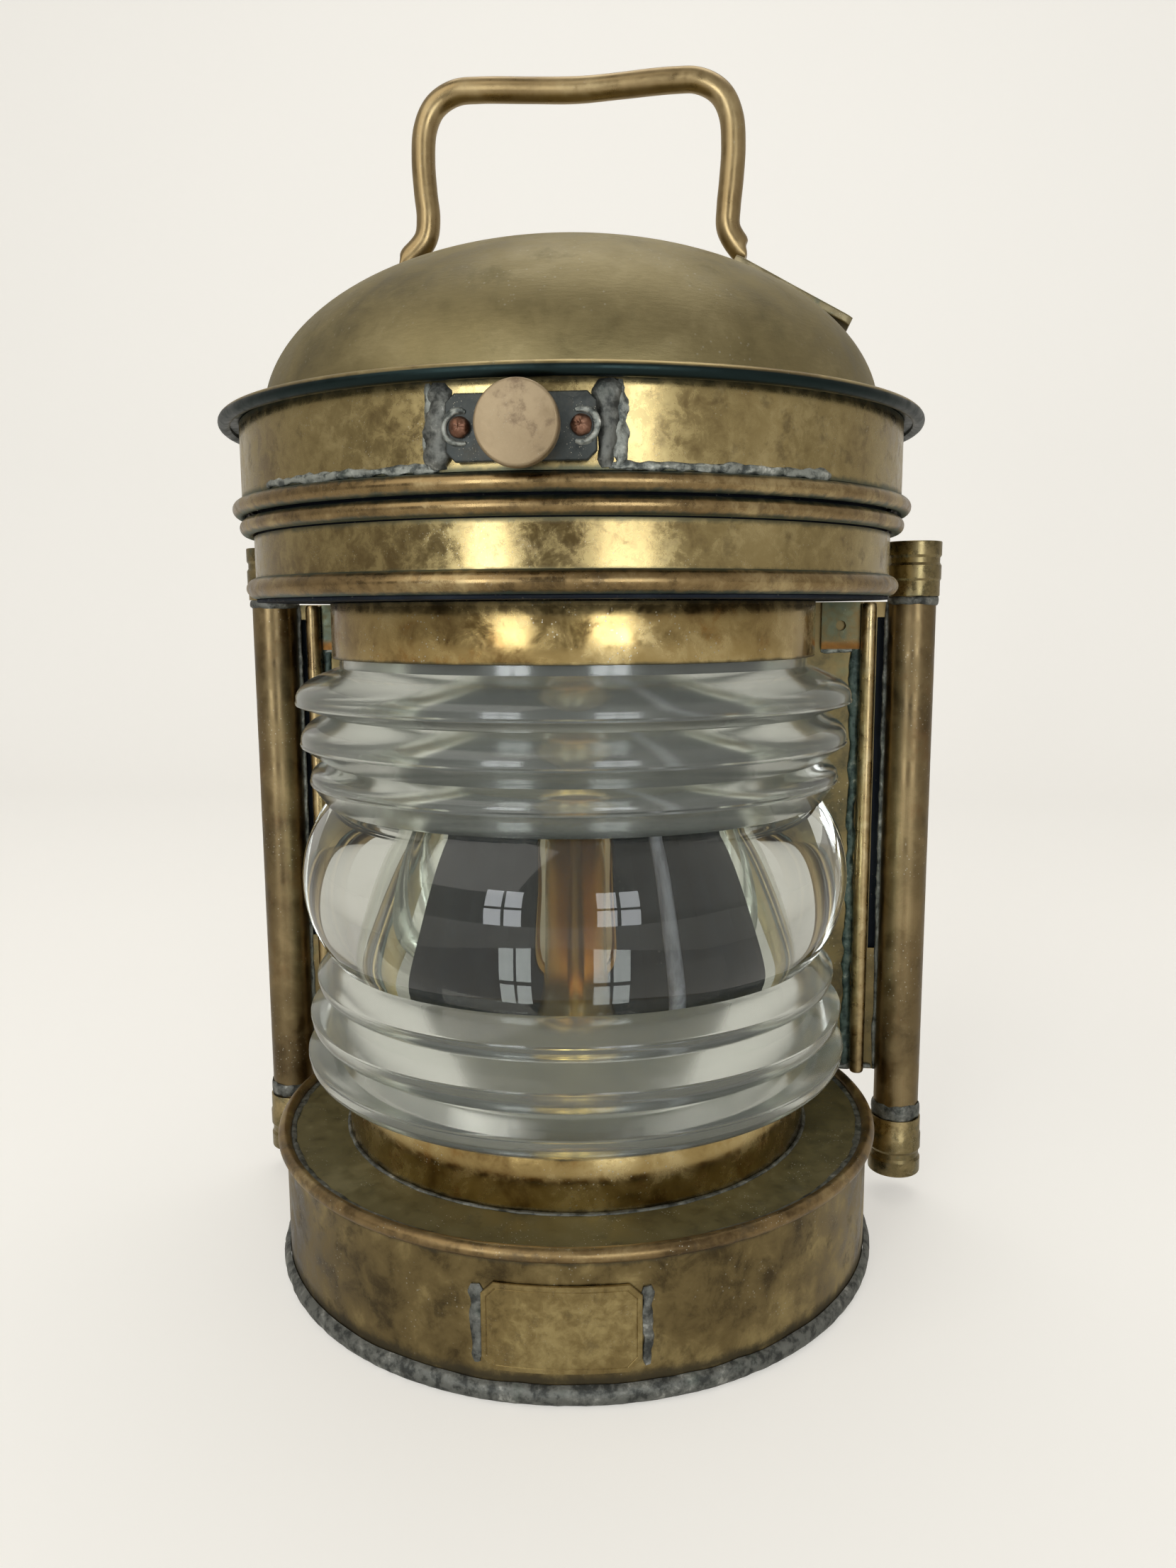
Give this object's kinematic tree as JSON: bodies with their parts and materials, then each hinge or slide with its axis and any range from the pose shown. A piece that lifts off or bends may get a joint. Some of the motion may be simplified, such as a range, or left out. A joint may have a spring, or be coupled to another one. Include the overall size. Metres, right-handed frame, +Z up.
{
  "type": "ship masthead lantern",
  "caption": "Brass ship's masthead lantern: ribbed drum lens on a round base, hinged domed hood with screw latch and fixed handle, side guide tubes, electric lamp inside.",
  "frame": {"origin": "centre of the foot, on the lens axis, where the lantern stands", "axes": "+Z up along the lens axis, -Y forwards out of the lens, +X to the viewer's right"},
  "size_m": [0.2798, 0.2549, 0.4292],
  "materials": {
    "brass": "polished with brown mottling",
    "dark_brass": "tarnished olive brown",
    "dull_brass": "dull, finely brushed",
    "bead_brass": "copper-brown, bright on the crests",
    "lead": "grey lead solder",
    "slate": "dark slate, worn",
    "copper": "dark copper",
    "knob_brass": "matt, tan pink",
    "glass": "clear, faint grey-green",
    "rubber": "matt black",
    "porcelain": "glazed white",
    "cable": "matt grey"
  },
  "bodies": {
    "lantern": {"back_shell": "dark_brass", "base_deck": "dark_brass", "base_drum": "dark_brass", "base_floor": "dark_brass", "base_foot_bead": "lead", "base_rim_bead": "bead_brass", "cable_gland": "brass", "gland_nut": "brass", "guide_tube_left": "dark_brass", "guide_tube_right": "dark_brass", "head_band": "brass", "head_deck": "dark_brass", "head_lower_bead": "bead_brass", "head_upper_bead": "bead_brass", "hinge_leaf_lower": "dark_brass", "hinge_pin": "brass", "inner_neck": "dark_brass", "lamp_cable": "cable", "lamp_flange": "brass", "lampholder": "brass", "lampholder_insert": "porcelain", "lens": "glass", "lens_lug_left": "dark_brass", "lens_lug_right": "dark_brass", "lower_collar": "brass", "lower_lens_seal": "rubber", "name_plate": "brass", "side_plate_left": "brass", "side_plate_right": "brass", "side_post_left": "brass", "side_post_right": "brass", "tube_bottom_cap_left": "dark_brass", "tube_bottom_cap_right": "dark_brass", "tube_top_cap_left": "brass", "tube_top_cap_right": "brass", "upper_collar": "brass", "upper_lens_seal": "rubber"},
    "hood": {"brim": "bead_brass", "dome": "dull_brass", "handle": "brass", "handle_strap_left": "dull_brass", "handle_strap_right": "dull_brass", "hinge_leaf_upper": "dark_brass", "hood_band": "brass", "hood_bead": "bead_brass", "latch_nut": "brass", "latch_plate": "slate", "latch_rivet_left": "copper", "latch_rivet_right": "copper", "strap_rivet_left_1": "copper", "strap_rivet_left_2": "copper", "strap_rivet_right_1": "copper", "strap_rivet_right_2": "copper"},
    "latch_stud": {"latch_stud": "brass"},
    "latch_knob": {"latch_knob": "knob_brass"},
    "bulb_cap": {"bulb_cap": "brass"},
    "bulb_glass": {"bulb_glass": "glass"}
  },
  "joints": [
    {"name": "hood_hinge", "type": "hinge", "parent": "lantern", "child": "hood", "pos_m": [0, 0.1242, 0.27555], "axis": [-1, 0, 0], "range_deg": [0, 95]},
    {"name": "latch_travel", "type": "slide", "parent": "hood", "child": "latch_stud", "axis": [0, -1, 0], "range_m": [0, 0.0045]},
    {"name": "latch_turn", "type": "hinge", "parent": "latch_stud", "child": "latch_knob", "pos_m": [0, -0.117, 0.29149], "axis": [0, -1, 0], "range_deg": [0, 1080]},
    {"name": "bulb_travel", "type": "slide", "parent": "lantern", "child": "bulb_cap", "axis": [0, 0, 1], "range_m": [0, 0.0126]},
    {"name": "bulb_turn", "type": "hinge", "parent": "bulb_cap", "child": "bulb_glass", "pos_m": [0, 0, 0.05], "axis": [0, 0, 1], "range_deg": [0, 1260]}
  ],
  "couplings": [
    {"joint": "latch_turn", "follows": "latch_travel", "rad_per_m": 4188.8},
    {"joint": "bulb_turn", "follows": "bulb_travel", "rad_per_m": 1745.3}
  ]
}
